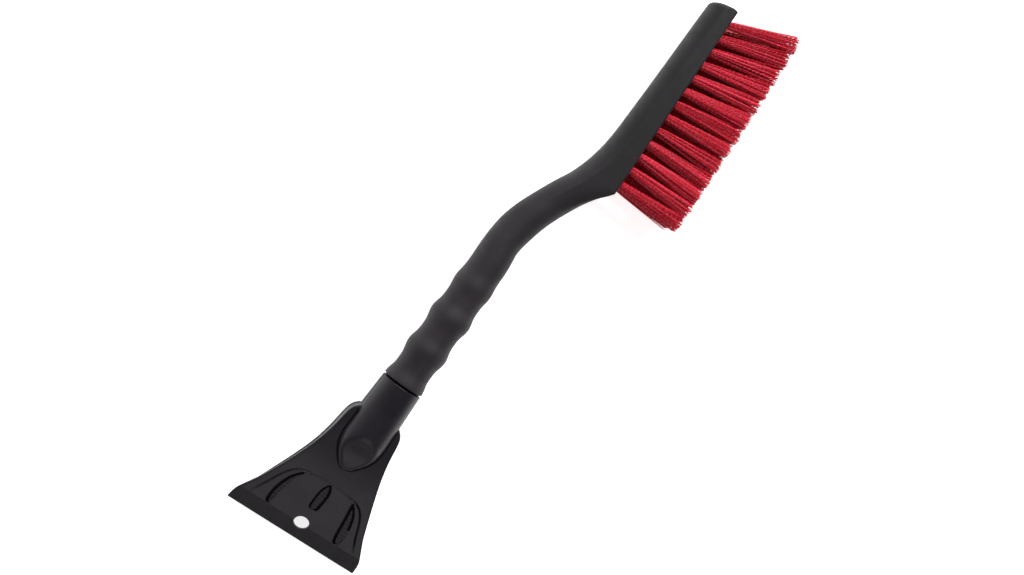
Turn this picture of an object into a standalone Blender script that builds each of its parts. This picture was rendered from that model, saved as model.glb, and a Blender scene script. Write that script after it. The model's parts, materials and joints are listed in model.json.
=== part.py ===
"""Snow brush with an ice scraper: an 18 inch hand tool for clearing a car's windows.

Three kinds of piece make it up. The brush handle is one moulding: a ribbed spigot, a waved grip, an
S-shaped neck and the brush block, hollow from the spigot to the end of the grip. The scraper head is a
second moulding: a flanged blade with a socket that snaps over the spigot. The bristle tufts are set in
three staggered rows of blind holes in the block.

Everything is laid out in millimetres with the blade's edge at x = 0, the handle's axis along X, the
bristles towards -Y and the tool's flat plane at z = 0. The parent empty then scales it to metres and
puts the origin under the middle of the tool, which lies on its side.
"""

import math

import bmesh
import bpy
import numpy as np
from mathutils import Matrix, Vector

METRES = 0.001

# Driving dimensions, in millimetres.
LENGTH = 457.0  # from the blade's edge to the end of the brush block
BLADE_WIDTH = 101.0
BRISTLE_LENGTH = 49.6  # outside the block
ROWS = ((8.0, 2.5, 13), (0.0, 0.0, 12), (-8.0, -2.5, 13))  # height, outward splay in degrees, tufts
TUFT_PITCH = 10.55
FIT_GAP = 0.3  # between pieces that touch on the real tool

# The joint between the handle and the scraper head.
COLLAR_X = 126.0
COLLAR_GAP = 0.8
SPIGOT_TIP_X = 84.0
SPIGOT_RADIUS = 10.4
CRUSH_RIB = 0.5
BEAD_X = 92.0
BEAD_RADIUS = 11.6
BEAD_WIDTH = 3.0

# The grip, a row of waves along a round bar.
GRIP_CREST_RADIUS = 14.75
GRIP_WAIST_RADIUS = 12.9
WAVE_PITCH = 26.8
WAVE_START_X = 127.0
GRIP_END_X = 232.0
CORE_RADIUS = 8.0

# The brush block.
BLOCK_START_X = 311.0
BLOCK_HALF_WIDTH = 13.6
BLOCK_FACE_START_Y = -39.1
BLOCK_FACE_END_Y = -35.0
BLOCK_BACK_Y = -17.9
CREASE_DEPTH = 8.0  # from the block's back to where its sides turn flat
FACE_CHAMFER = 1.2
END_CORNER = (4.5, 8.0)  # the rounded corner between the block's back and its end

# The bristle tufts.
LAST_TUFT_X = 446.9
FIRST_TUFT_SETBACK = 1.6  # the tufts next to the neck stand a little apart
MAX_LEAN = 19.2  # degrees, of the last tuft, towards the block's end
UPRIGHT_TUFTS = 3
TUFT_ROOT_RADIUS = 2.75
TUFT_TIP_RADIUS = 4.9
TUFT_HOLE_DEPTH = 12.0

# The scraper head.
PLATE = 3.0
EDGE = 0.6
EDGE_DROP = 9.0  # the blade's edge lies this far below the handle's axis
BEVEL_END_X = 11.0
BLADE_SLOPE = 0.22
BLADE_END_X = 36.0  # from here on the flat blade curves up to the socket
SHOULDER_X = 100.5
WALL = 2.4
NOSE_X = 56.0
NOSE_LENGTH = 28.0
SOCKET_RADIUS = (14.7, 16.4)  # at the collar, and where the nose begins
HOLLOW_END_X = 83.5  # the thumb hollow on the socket's nose
HOLLOW_LOW_Z = 8.0
GROOVE_DEPTH = 1.4
SIDE_GROOVE = ((41.5, 18.6, 0.8), (37, 21.4, 3.2), (31, 24.4, 5.2), (24, 26.2, 6.0), (14, 26.8, 6.2), (12, 26.8, 4))
MIDDLE_GROOVE = ((42, 0, 1.6), (34, 0, 5.0), (24, 0, 7.0), (21.5, 0, 5))  # x, y and width
HANG_HOLE_X = 11.9
HANG_HOLE_RADIUS = 5.3

SECTION_POINTS = 24  # round every ring of the handle
SOCKET_SIDES = 32
TUFT_SIDES = 8
HOLE_SIDES = 12


def curve_through(*points):
    """A smooth function that passes through (x, value) points, in rising x."""
    xs, values = (np.array(column, float) for column in zip(*points))
    slopes = np.gradient(values, xs)

    def value(x):
        i = int(np.clip(np.searchsorted(xs, x) - 1, 0, len(xs) - 2))
        step = xs[i + 1] - xs[i]
        t = float(np.clip((x - xs[i]) / step, 0, 1))
        return (
            (2 * t**3 - 3 * t**2 + 1) * values[i]
            + (t**3 - 2 * t**2 + t) * step * slopes[i]
            + (3 * t**2 - 2 * t**3) * values[i + 1]
            + (t**3 - t**2) * step * slopes[i + 1]
        )

    return value


# The neck's two edges, seen from above, in millimetres.
neck_back = curve_through(
    (GRIP_END_X, 13.5), (245, 13.0), (256, 11.8), (268, 8.6), (281, 3.4), (295, -2.9),
    (308, -9.4), (321, -13.8), (334, -16.4), (348, -17.6), (362, BLOCK_BACK_Y), (LENGTH, BLOCK_BACK_Y - 0.7),
)
neck_front = curve_through(
    (GRIP_END_X, -11.8), (241, -11.3), (254, -13.3), (268, -17.0), (281, -22.2),
    (295, -29.0), (302, -33.2), (308, -37.4), (BLOCK_START_X, BLOCK_FACE_START_Y),
)
neck_half_depth = curve_through((GRIP_END_X, 12.4), (262, 11.6), (290, 11.8), (320, BLOCK_HALF_WIDTH))

# The scraper head's outline, top surface and flange depth, from the blade's edge to the shoulders.
head_half_width = curve_through(
    (0, BLADE_WIDTH / 2), (4, 50.2), (8, 49.4), (13.4, 46.8), (23, 41.8), (33.4, 37.4), (50, 31.0),
    (67, 25.4), (80, 22.5), (90, 21.1), (94, 20.3), (97.5, 18.6), (SHOULDER_X, 15.6),
)
shoulder_top = curve_through(
    (28, -0.44), (BLADE_END_X, 1.32), (44, 2.9), (52, 4.0), (62, 4.8), (74, 5.2), (84, 5.2), (SHOULDER_X, 4.8),
)
nose_radius = curve_through(
    (NOSE_X, 1.5), (58.6, 5.2), (63, 9.0), (67.3, 12.2), (73, 15.0), (79, 16.2), (NOSE_X + NOSE_LENGTH, SOCKET_RADIUS[1]),
)
flange_depth = curve_through((8, 3.1), (20, 4.6), (33, 6.4), (67, 8.5), (88, 10.8), (SHOULDER_X, 11.4))


def head_underside(x):
    """Height of the head's underside over the handle's axis: a flat blade, then a curve up to the socket."""
    if x <= BLADE_END_X:
        return BLADE_SLOPE * x - EDGE_DROP - EDGE / 2
    return shoulder_top(x) - shoulder_top(BLADE_END_X) + head_underside(BLADE_END_X)


def head_top(x):
    """Height of its upper surface, which the bevel brings down to the edge's own thickness."""
    return head_underside(x) + EDGE + (PLATE - EDGE) * min(1.0, x / BEVEL_END_X)


def socket_radius(x):
    """Outer radius of the socket: a slightly tapered tube with a pointed nose."""
    nose_end = NOSE_X + NOSE_LENGTH
    if x < nose_end:
        return nose_radius(x)
    return np.interp(x, (nose_end, COLLAR_X), SOCKET_RADIUS[::-1])


def face_y(x):
    """The block's bristle face, which closes on the back by about 1.6 degrees."""
    return np.interp(x, (BLOCK_START_X, LENGTH), (BLOCK_FACE_START_Y, BLOCK_FACE_END_Y))


def grip_radius(x):
    """Radius of the waved grip: broad finger hollows between narrower crests, fading towards the neck."""
    wave = (1 + math.cos(2 * math.pi * (x - WAVE_START_X) / WAVE_PITCH)) / 2
    fade = np.interp(x, (190, 208, 222, GRIP_END_X), (1.0, 0.55, 0.2, 0.0))
    return GRIP_WAIST_RADIUS + (GRIP_CREST_RADIUS - GRIP_WAIST_RADIUS) * fade * wave**1.5


def new_object(name, mesh, material, parent):
    obj = bpy.data.objects.new(name, mesh)
    bpy.context.scene.collection.objects.link(obj)
    obj.parent = parent
    mesh.materials.append(material)
    return obj


def new_helper(name, mesh, parent):
    """A shape that a Boolean reads, left out of renders and of the finished tool."""
    helper = bpy.data.objects.new(name, mesh)
    bpy.context.scene.collection.objects.link(helper)
    helper.parent = parent
    helper.display_type = "WIRE"
    helper.hide_render = True
    return helper


def combine(obj, helper, operation):
    modifier = obj.modifiers.new(helper.name, "BOOLEAN")
    modifier.object = helper
    modifier.operation = operation


def loft(name, rings, smooth_angle=None):
    """A closed mesh through rings of points, each ring with the same number, and a cap at either end."""
    shape = bmesh.new()
    loops = [[shape.verts.new(point) for point in ring] for ring in rings]
    count = len(loops[0])
    for low, high in zip(loops, loops[1:]):
        for k in range(count):
            shape.faces.new((low[k], low[(k + 1) % count], high[(k + 1) % count], high[k]))
    shape.faces.new(loops[0][::-1])
    shape.faces.new(loops[-1])
    bmesh.ops.recalc_face_normals(shape, faces=shape.faces)
    mesh = bpy.data.meshes.new(name)
    shape.to_mesh(mesh)
    shape.free()
    if smooth_angle is not None:
        mesh.shade_smooth()
        mesh.set_sharp_from_angle(angle=math.radians(smooth_angle))
    return mesh


def circle(x, radius, sides):
    angles = [2 * math.pi * k / sides for k in range(sides)]
    return [(x, radius * math.cos(a), radius * math.sin(a)) for a in angles]


def block_section(back, front):
    """The brush block's section: a half-round back, flat sides and a flat chamfered face, as (y, z)."""
    half = BLOCK_HALF_WIDTH
    crease = min(CREASE_DEPTH, 0.6 * (back - front))
    quarter = SECTION_POINTS // 4
    arc = [
        (back - crease + crease * math.cos(a), half * math.sin(a))
        for a in (math.pi * k / 2 / quarter for k in range(-quarter, quarter + 1))
    ]
    edge = half - FACE_CHAMFER
    flat_points = 2 * quarter - 5
    flat = [(front, edge * (1 - 2 * (k + 1) / (flat_points + 1))) for k in range(flat_points)]
    side = [(front + FACE_CHAMFER, half), (front, edge)]
    return arc + side + flat + [(y, -z) for y, z in reversed(side)]


def round_section(back, front, half_depth):
    """An oval section with its points in step with block_section's."""
    quarter = SECTION_POINTS // 4
    middle, radius = (back + front) / 2, (back - front) / 2
    angles = [math.pi * k / 2 / quarter for k in range(-quarter, SECTION_POINTS - quarter)]
    return [(middle + radius * math.cos(a), half_depth * math.sin(a)) for a in angles]


def handle_ring(x, back, front, half_depth, squareness):
    """One ring of the handle, between an oval (squareness 0) and the block's section (1)."""
    oval, block = round_section(back, front, half_depth), block_section(back, front)
    return [
        (x, a[0] + (b[0] - a[0]) * squareness, a[1] + (b[1] - a[1]) * squareness)
        for a, b in zip(oval, block)
    ]


def spigot_rings():
    """The spigot from its tip to the collar: a chamfer, the bead that snaps into the socket, four crush ribs."""
    stations = (
        (SPIGOT_TIP_X, SPIGOT_RADIUS - 1.2, 0.0),
        (SPIGOT_TIP_X + 1.5, SPIGOT_RADIUS, 0.0),
        (BEAD_X - BEAD_WIDTH / 2, SPIGOT_RADIUS, 0.0),
        (BEAD_X, BEAD_RADIUS, 0.0),
        (BEAD_X + BEAD_WIDTH / 2, SPIGOT_RADIUS, CRUSH_RIB),
        (COLLAR_X, SPIGOT_RADIUS, CRUSH_RIB),
    )
    for x, radius, rib in stations:
        ring = round_section(1.0, -1.0, 1.0)
        radii = [radius + rib * (k % (SECTION_POINTS // 4) == 0) for k in range(SECTION_POINTS)]
        yield [(x, y * r, z * r) for (y, z), r in zip(ring, radii)]


def body_stations():
    """Where the rings of the grip, neck and block stand."""
    grip = np.arange(COLLAR_X + COLLAR_GAP, GRIP_END_X, WAVE_PITCH / 8)
    neck = np.linspace(GRIP_END_X, BLOCK_START_X, 15)
    block = np.linspace(BLOCK_START_X, LENGTH - END_CORNER[0], 7)[1:]
    corner = [LENGTH - END_CORNER[0] * (1 - math.sin(a)) for a in (0.4, 0.8, 1.2, math.pi / 2)]
    return [*grip, *neck, *block, *corner]


def round_ring(x, radius):
    """A round ring of the handle, with its points in step with the rest."""
    return handle_ring(x, radius, -radius, radius, 0.0)


def body_ring(x):
    """A ring of the grip, the neck or the block."""
    if x < GRIP_END_X:
        return round_ring(x, grip_radius(x))
    along = max(0.0, x - (LENGTH - END_CORNER[0])) / END_CORNER[0]
    back = neck_back(x) - END_CORNER[1] * (1 - math.sqrt(max(0.0, 1 - along**2)))
    front = neck_front(x) if x < BLOCK_START_X else face_y(x)
    squareness = np.interp(x, (280, BLOCK_START_X), (0.0, 1.0))
    return handle_ring(x, back, front, neck_half_depth(x), squareness)


def make_handle(material, parent):
    """The brush handle: spigot, grip, neck and block in one moulding, with a cored grip."""
    start = COLLAR_X + COLLAR_GAP
    collar = [(start - 0.01, SPIGOT_RADIUS), (start, GRIP_CREST_RADIUS - 0.6), (start + 0.6, GRIP_CREST_RADIUS)]
    rings = [*spigot_rings(), *(round_ring(x, radius) for x, radius in collar)]
    rings += [body_ring(x) for x in body_stations() if x > start + 1.5]
    handle = new_object("brush_handle", loft("brush_handle", rings, 35), material, parent)
    core_rings = [circle(x, CORE_RADIUS, 12) for x in (SPIGOT_TIP_X - 2, GRIP_END_X - 12)]
    core_rings.append(circle(GRIP_END_X - 4, CORE_RADIUS * 0.6, 12))
    combine(handle, new_helper("cutter_core", loft("cutter_core", core_rings), parent), "DIFFERENCE")
    return handle


def tuft_frame(row, index):
    """Root point on the block's face, and the tuft's direction and two cross directions.

    A row with fewer tufts stands between its neighbours' tufts. The upright tufts by the neck are
    followed by ones that lean more and more towards the block's end.
    """
    z, splay, count = ROWS[row]
    longest = max(tufts for _, _, tufts in ROWS)
    place = index + (longest - count) / 2
    x = LAST_TUFT_X - (longest - 1 - place) * TUFT_PITCH - FIRST_TUFT_SETBACK * max(0.0, 1 - place)
    leaning = (place - UPRIGHT_TUFTS + 1) / (longest - UPRIGHT_TUFTS)
    face_angle = math.atan2(BLOCK_FACE_END_Y - BLOCK_FACE_START_Y, LENGTH - BLOCK_START_X)
    lean = face_angle + math.radians(MAX_LEAN * max(0.0, leaning))
    direction = Vector((math.sin(lean), -math.cos(lean), math.tan(math.radians(splay)))).normalized()
    across = Vector((math.cos(lean), math.sin(lean), 0.0))
    return Vector((x, face_y(x), z)), direction, across, direction.cross(across)


def tube_between(name, frame, stations, sides):
    """A straight many-sided tube along a tuft's direction, through (distance, radius) stations."""
    root, direction, across, upward = frame
    angles = [2 * math.pi * (k + 0.5) / sides for k in range(sides)]
    rings = [
        [
            root + direction * distance + (across * math.cos(a) + upward * math.sin(a)) * radius
            for a in angles
        ]
        for distance, radius in stations
    ]
    return loft(name, rings)


def make_tufts(handle, material, parent):
    """The bristle tufts, and the blind holes that they stand in."""
    bottom = FIT_GAP - TUFT_HOLE_DEPTH
    hole_radius = (TUFT_ROOT_RADIUS + FIT_GAP) / math.cos(math.pi / HOLE_SIDES)
    for row, (_, _, count) in enumerate(ROWS):
        for index in range(count):
            frame = tuft_frame(row, index)
            label = f"{row + 1}_{index + 1:02d}"
            hole = tube_between(
                "cutter_hole", frame, [(-TUFT_HOLE_DEPTH, hole_radius), (4.0, hole_radius)], HOLE_SIDES
            )
            combine(handle, new_helper(f"cutter_hole_{label}", hole, parent), "DIFFERENCE")
            stations = [(bottom, TUFT_ROOT_RADIUS), (1.0, TUFT_ROOT_RADIUS)]
            for share in (0.35, 0.7, 1.0):
                radius = TUFT_ROOT_RADIUS + (TUFT_TIP_RADIUS - TUFT_ROOT_RADIUS) * share
                stations.append((BRISTLE_LENGTH * share, radius))
            tuft = tube_between(f"tuft_{label}", frame, stations, TUFT_SIDES)
            new_object(f"tuft_{label}", tuft, material, parent)


def plate_rings():
    """The blade and its shoulders, as flat-sided slices from the edge back."""
    stations = (0, 4, 8, BEVEL_END_X, 14, 18, 23, 29, 36, 40, 44, 48, 52, 57, 63, 70, 77, 84, 90, 94, 97.5, SHOULDER_X)
    for x in stations:
        half, top, under = head_half_width(x), head_top(x), head_underside(x)
        rim = min(0.8, (top - under) / 3) * (x > 0)
        yield [
            (x, half, under), (x, half, top - rim), (x, half - rim, top), (x, 0.0, top),
            (x, rim - half, top), (x, -half, top - rim), (x, -half, under), (x, 0.0, under),
        ]


def wall_rings(side):
    """One flange, hanging from the plate along its outline."""
    inset = 0.15
    for x in (8, 14, 20, 28, 36, 44, 54, 66, 78, 88, 94, 97, SHOULDER_X - 0.3):
        outer = head_half_width(x) - inset
        top, low = head_underside(x) + 0.6 * PLATE, head_top(x) - flange_depth(x)
        inner = outer - WALL
        yield [(x, side * y, z) for y, z in ((outer, low), (outer, top), (inner, top), (inner, low))]


def gusset_rings(angle):
    """A rib under the blade, fanning out from the socket's nose."""
    start, stop, thickness = 62.0, 18.0, 1.8
    spread = math.radians(angle)
    for x in (start, 50.0, 36.0, stop):
        y = (start - x) * math.tan(spread)
        top = head_underside(x) + 1.2
        low = np.interp(x, (stop, start), (head_underside(stop) - 0.4, -7.0))
        yield [(x, y + side * thickness / 2, z) for side, z in ((1, low), (1, top), (-1, top), (-1, low))]


def thumb_hollow_cutter():
    """A wedge over the nose. Its curved floor leaves an oval hollow that rises to the top of the tube."""
    top = socket_radius(HOLLOW_END_X)
    rings = []
    for x in np.linspace(NOSE_X + 0.4, HOLLOW_END_X + 14, 14):
        along = (x - NOSE_X) / (HOLLOW_END_X - NOSE_X)
        floor = HOLLOW_LOW_Z + (top - HOLLOW_LOW_Z) * along**1.5
        rings.append([(x, -20.0, floor), (x, 20.0, floor), (x, 20.0, 32.0), (x, -20.0, 32.0)])
    return rings


def groove_rings(path):
    """A shallow groove in the blade's top, through (x, y, width) points."""
    for x, y, width in path:
        low, high = head_top(x) - GROOVE_DEPTH, head_top(x) + 6
        yield [(x, y + side * width / 2, z) for side, z in ((1, low), (1, high), (-1, high), (-1, low))]


def make_head(material, parent):
    """The scraper head: plate, flanges, gussets and socket in one moulding."""
    head = new_object("scraper_head", loft("scraper_head", list(plate_rings())), material, parent)
    rim_x = COLLAR_X - COLLAR_GAP / 2
    stations = (57.3, 60.1, 63.3, 66.7, 70.3, 74.1, 78.3, 84.0, 97.9, rim_x - 0.5)
    socket = [circle(x, socket_radius(x), SOCKET_SIDES) for x in stations]
    socket.append(circle(rim_x, socket_radius(rim_x) - 0.5, SOCKET_SIDES))
    bore_radius = SPIGOT_RADIUS + CRUSH_RIB + FIT_GAP
    groove_radius, groove_half = BEAD_RADIUS + FIT_GAP, BEAD_WIDTH / 2 + 2 * FIT_GAP
    bore = [
        (SPIGOT_TIP_X - 17, bore_radius - 6.5),
        (SPIGOT_TIP_X - 2, bore_radius - 1.5),
        (SPIGOT_TIP_X - 1, bore_radius),
        (BEAD_X - groove_half, bore_radius),
        (BEAD_X, groove_radius + FIT_GAP),
        (BEAD_X + groove_half, bore_radius),
        (rim_x - 0.6, bore_radius),
        (rim_x + 1, bore_radius + 1.6),
    ]
    added = {
        "adder_socket": socket,
        "adder_left_flange": wall_rings(1),
        "adder_right_flange": wall_rings(-1),
        "adder_middle_gusset": gusset_rings(0),
        "adder_left_gusset": gusset_rings(26),
        "adder_right_gusset": gusset_rings(-26),
    }
    for name, rings in added.items():
        combine(head, new_helper(name, loft(name, list(rings)), parent), "UNION")
    cuts = {
        "cutter_thumb_hollow": thumb_hollow_cutter(),
        "cutter_bore": [circle(x, radius, SOCKET_SIDES) for x, radius in bore],
        "cutter_left_groove": groove_rings(SIDE_GROOVE),
        "cutter_right_groove": groove_rings([(x, -y, width) for x, y, width in SIDE_GROOVE]),
        "cutter_middle_groove": groove_rings(MIDDLE_GROOVE),
        "cutter_hang_hole": hang_hole_cutter(),
    }
    for name, rings in cuts.items():
        combine(head, new_helper(name, loft(name, list(rings)), parent), "DIFFERENCE")


def hang_hole_cutter():
    """A cylinder square to the blade's underside."""
    tilt = math.atan(BLADE_SLOPE)
    middle = Vector((HANG_HOLE_X, 0.0, head_underside(HANG_HOLE_X)))
    rings = []
    for height in (-8.0, 12.0):
        turn = Matrix.Rotation(-tilt, 4, "Y")
        ring = [
            middle + turn @ Vector((HANG_HOLE_RADIUS * math.cos(a), HANG_HOLE_RADIUS * math.sin(a), height))
            for a in (2 * math.pi * k / 24 for k in range(24))
        ]
        rings.append(ring)
    return rings


def plastic(name, colour, roughness):
    material = bpy.data.materials.new(name)
    material.use_nodes = True
    shader = material.node_tree.nodes["Principled BSDF"]
    shader.inputs["Base Color"].default_value = (*colour, 1.0)
    shader.inputs["Roughness"].default_value = roughness
    shader.inputs["Metallic"].default_value = 0.0
    return material


def put_origin_under_middle(frame):
    """Moves the parent empty so that the tool's footprint is centred on the origin and rests on z = 0."""
    bpy.context.view_layer.update()
    corners = np.array([
        piece.matrix_world @ Vector(corner)
        for piece in frame.children
        if not piece.hide_render
        for corner in piece.bound_box
    ])
    low, high = corners.min(axis=0), corners.max(axis=0)
    frame.location = (-(low[0] + high[0]) / 2, -(low[1] + high[1]) / 2, -low[2])
    bpy.context.view_layer.update()


def main():
    for obj in list(bpy.data.objects):
        bpy.data.objects.remove(obj)
    frame = bpy.data.objects.new("tool_frame", None)
    bpy.context.scene.collection.objects.link(frame)
    frame.scale = (METRES, METRES, METRES)
    handle = make_handle(plastic("matte_black", (0.032, 0.031, 0.034), 0.62), frame)
    make_tufts(handle, plastic("red_bristle", (0.52, 0.012, 0.03), 0.45), frame)
    make_head(plastic("gloss_black", (0.012, 0.011, 0.013), 0.25), frame)
    put_origin_under_middle(frame)
    print("origin in layout coordinates, mm:", [round(-v / METRES, 3) for v in frame.location])


main()
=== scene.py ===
"""Looks for the snow brush with an ice scraper.

The shapes are laid out in millimetres, like the frame's own CAD model: the blade's edge at x = 0, the
handle's axis along X, the bristles towards -Y and the tool's flat plane at z = 0. ORIGIN is the point
of that layout at the frame's origin. The handle and the scraper head become finely moulded skins, and
every tuft becomes a bundle of crimped filaments.
"""

import itertools
import json
import math

import bmesh
import bpy
import numpy as np
from mathutils import Matrix, Vector

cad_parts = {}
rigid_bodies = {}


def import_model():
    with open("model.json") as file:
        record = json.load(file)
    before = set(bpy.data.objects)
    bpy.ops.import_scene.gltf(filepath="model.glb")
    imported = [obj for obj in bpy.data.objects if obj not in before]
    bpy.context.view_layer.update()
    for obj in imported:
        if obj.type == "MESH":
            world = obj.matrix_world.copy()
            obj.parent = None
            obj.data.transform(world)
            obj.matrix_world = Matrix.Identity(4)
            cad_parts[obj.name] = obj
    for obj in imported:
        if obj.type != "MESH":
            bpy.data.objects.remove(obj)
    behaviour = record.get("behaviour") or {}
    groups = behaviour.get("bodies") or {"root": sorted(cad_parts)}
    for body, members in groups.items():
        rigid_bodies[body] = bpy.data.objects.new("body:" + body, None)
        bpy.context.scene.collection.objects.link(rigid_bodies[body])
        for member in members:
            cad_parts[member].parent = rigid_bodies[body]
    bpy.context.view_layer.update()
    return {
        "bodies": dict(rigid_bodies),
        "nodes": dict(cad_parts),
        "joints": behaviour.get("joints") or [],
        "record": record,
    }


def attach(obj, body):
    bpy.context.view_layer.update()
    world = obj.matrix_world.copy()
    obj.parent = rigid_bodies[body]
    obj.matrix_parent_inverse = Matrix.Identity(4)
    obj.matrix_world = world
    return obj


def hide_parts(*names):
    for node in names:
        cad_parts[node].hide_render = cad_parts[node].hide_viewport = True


ORIGIN = np.array((234.382, -19.084, -16.4))
METRES = 0.001

# Overall dimensions, in millimetres.
LENGTH = 457.0
BLADE_WIDTH = 101.0
SHOULDER_X = 100.5
COLLAR_X = 126.0
COLLAR_GAP = 1.0

# The spigot and the socket that snaps over it.
SPIGOT_TIP_X = 84.0
SPIGOT_RADIUS = 10.4
CRUSH_RIB = 0.5
BEAD_X = 92.0
BEAD_RADIUS = 11.6
BEAD_WIDTH = 3.0
CORE_RADIUS = 8.0
STOP_RADIUS = 13.2  # the ring behind the seam between the socket and the grip
FIT_GAP = 0.3

# The grip.
GRIP_CREST_RADIUS = 14.75
GRIP_WAIST_RADIUS = 12.9
WAVE_PITCH = 26.8
WAVE_START_X = 127.0
WAVE_SHARPNESS = 1.5
GRIP_END_X = 232.0
WAVE_FADE = ((190, 1.0), (208, 0.55), (222, 0.2), (GRIP_END_X, 0.0))  # x, share of the waves' height

# The brush block.
BLOCK_START_X = 311.0
BLOCK_HALF_WIDTH = 13.6
BLOCK_FACE_START_Y = -39.1
BLOCK_FACE_END_Y = -35.0
BLOCK_BACK_Y = -17.9
CREASE_DEPTH = 8.0
CREASE_TURN = 0.35  # how sharply the block's side breaks where its back begins
SQUARE_START_X = 280.0  # where the neck's oval section starts to turn into the block's
END_LENGTH = 4.5  # of the curve that ends the block's back
END_DROP = 8.0
BLEND_LENGTH = 20.0  # over which the grip's round section turns into the neck's oval

# The tufts.
ROWS = ((8.0, 2.5, 13), (0.0, 0.0, 12), (-8.0, -2.5, 13))  # height, outward splay in degrees, tufts
TUFT_PITCH = 10.55
LAST_TUFT_X = 446.9
FIRST_TUFT_SETBACK = 1.6
MAX_LEAN = 19.2
UPRIGHT_TUFTS = 3
BRISTLE_LENGTH = 49.6
TUFT_ROOT_RADIUS = 2.75
TUFT_HOLE_DEPTH = 12.0

# The filaments of a tuft.
FILAMENTS = 74
FILAMENT_RADIUS = 0.36
CRIMP_PITCH = 3.0
CRIMP_HEIGHT = 0.28
RINGS_PER_CRIMP = 6
CRIMP_TURN = 0.7  # how far the filaments' waves are turned and shifted from each other, in radians
CROWDING = 0.4  # below 0.5 the filaments crowd towards the outside of their tuft
WANDER = 0.4
FOLD_GAP = 0.6  # between the folded filaments and the bottom of their hole
FLARE = 0.5  # how much wider a tuft gets just outside its hole
FLARE_LENGTH = 4.0
TIP_SPREAD = 6.0
TIP_OVAL = 0.14  # how much wider a tuft's tips fan out along the block than across it
CENTRE_REACH = 1.4  # how much further the filaments in a tuft's middle reach
DOME = 1.6  # how much shorter the outer ones are than those
UNEVENNESS = 0.55
FIRST_BEND = 1.3  # how far the first tuft of a row bends back from the neck
SHADES = 6
SEED = 18

# The tufts' anchors. The profile is half of their length and their height, seen from the side.
ANCHOR_PROFILE = ((-2.9, -0.9), (2.9, -0.9), (2.9, 0.6), (2.2, 0.9), (-2.2, 0.9), (-2.9, 0.6))
ANCHOR_THICKNESS = 0.4
ANCHOR_LIFT = 2.4  # of the anchor's middle above the bottom of the hole

# The blade and its flanges.
PLATE = 3.0
EDGE = 0.6
EDGE_DROP = 9.0
BEVEL_END_X = 11.0
BLADE_SLOPE = 0.22
BLADE_END_X = 36.0
WALL = 2.4
LEDGE = 0.8  # how far the plate stands out over the roots of its flanges
FLANGE_START_X = 8.0
GUSSET_ANGLES = (-26, 0, 26)  # degrees from the handle's axis
GUSSET_START_X = 18.0
GUSSET_END_X = 62.0
GUSSET_END_Z = -7.0
GUSSET_THICKNESS = 1.8
PANEL_DEPTH = 0.4
PANEL_SEAM = 0.8
SEAM_HALF = 0.5  # half the width of the seam, and of the step down to the panel
SEAM_SHALLOW_Y = 8.0
SEAM_DEEP_Y = 22.0
PANEL_FADE = 9.0  # how far past the bevel the panel reaches its full depth
SHADE_START_DEPTH = 0.65  # how far down the channels' walls stay glossy, below which they are painted with shade
SHADED_RIM_HEIGHT = 3.0  # of the flanges' lower rim, painted with shade
GROOVE_DEPTH = 0.8
CHANNEL_DEPTH = 2.2  # of the narrow channels along a groove's steep sides
RIB_PITCH = 2.6
RIB_HEIGHT = 0.45
HANG_HOLE_X = 11.9
HANG_HOLE = (4.7, 5.4)  # half its length and half its width
PANEL = (  # half of the panel's outline, as x and distance from the middle
    (4, 46), (11.5, 41.4), (17, 38.8), (23, 35.8), (29, 33.4), (34.5, 30.8), (38.5, 28.2),
    (41.6, 25.2), (43.6, 21.0), (44.8, 15.0), (45.6, 8.0), (46.0, 0.0),
)
SIDE_GROOVE = (
    (10.6, 25.6), (14, 23.6), (23, 22.2), (33, 20.6), (39, 19.4), (43.4, 19.2),
    (38.4, 23.8), (33.4, 27.0), (23, 29.8), (14, 29.8), (11.2, 28.6),
)
MIDDLE_GROOVE = (
    (23, -3.4), (29, -3.8), (38, -3.9), (42.4, -2.2), (45.2, 0),
    (42.4, 2.2), (38, 3.9), (29, 3.8), (23, 3.4),
)

# The socket's nose.
NOSE_X = 56.0
NOSE_LENGTH = 28.0
SOCKET_RADIUS = (14.7, 16.4)
MOAT = 0.5  # half the width, and the depth, of the groove round the nose
HOLLOW_END_X = 83.5
HOLLOW_LOW_Z = 7.4
HOLLOW_CURVE = 2.2  # how sharply the thumb hollow's floor turns up at its end
HOLLOW_DISH = 0.8
DISH_HALF_WIDTH = 12.0

# The boxes that the skins are looked for in, and how finely.
HANDLE_BOX = ((82, -42, -15.5), (459, 16.5, 15.5))
HANDLE_STEP = 0.6
HEAD_BOX = ((-1.5, -52, -18), (126, 52, 18))
HEAD_STEP = 0.4

# The viewpoint, in layout millimetres.
CAMERA_AT = (214.77, 171.85, 791.68)
CAMERA_SIGHT = (0.00767, -0.23804, -0.97123)
CAMERA_UP = (0.8121, 0.5682, -0.1328)
LENS = 42.79

# The studio, in metres and watts.
FLOOR_REACH = 20.0
SOFTBOXES = (  # name, place, size, power
    ("key", (1.85, 0.25, 1.5), (1.8, 1.3), 52),
    ("sparkle", (0.95, -0.36, 1.25), (0.22, 0.22), 5),
    ("side_light", (0.4, 1.2, 0.6), (1.4, 0.9), 1.0),
    ("low_light", (0.7, -1.2, 0.4), (1.0, 0.5), 1.0),
    ("blade_light", (-1.0, -0.3, 1.15), (0.9, 0.9), 2.7),
)
SKY_GLOW = (  # direction, where the glow starts and ends along it, and its strength at both
    ("Z", (0.0, 0.5, 0.6, 0.12)),
    ("Y", (0.1, 1.0, 0.0, 0.25)),
)


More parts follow.
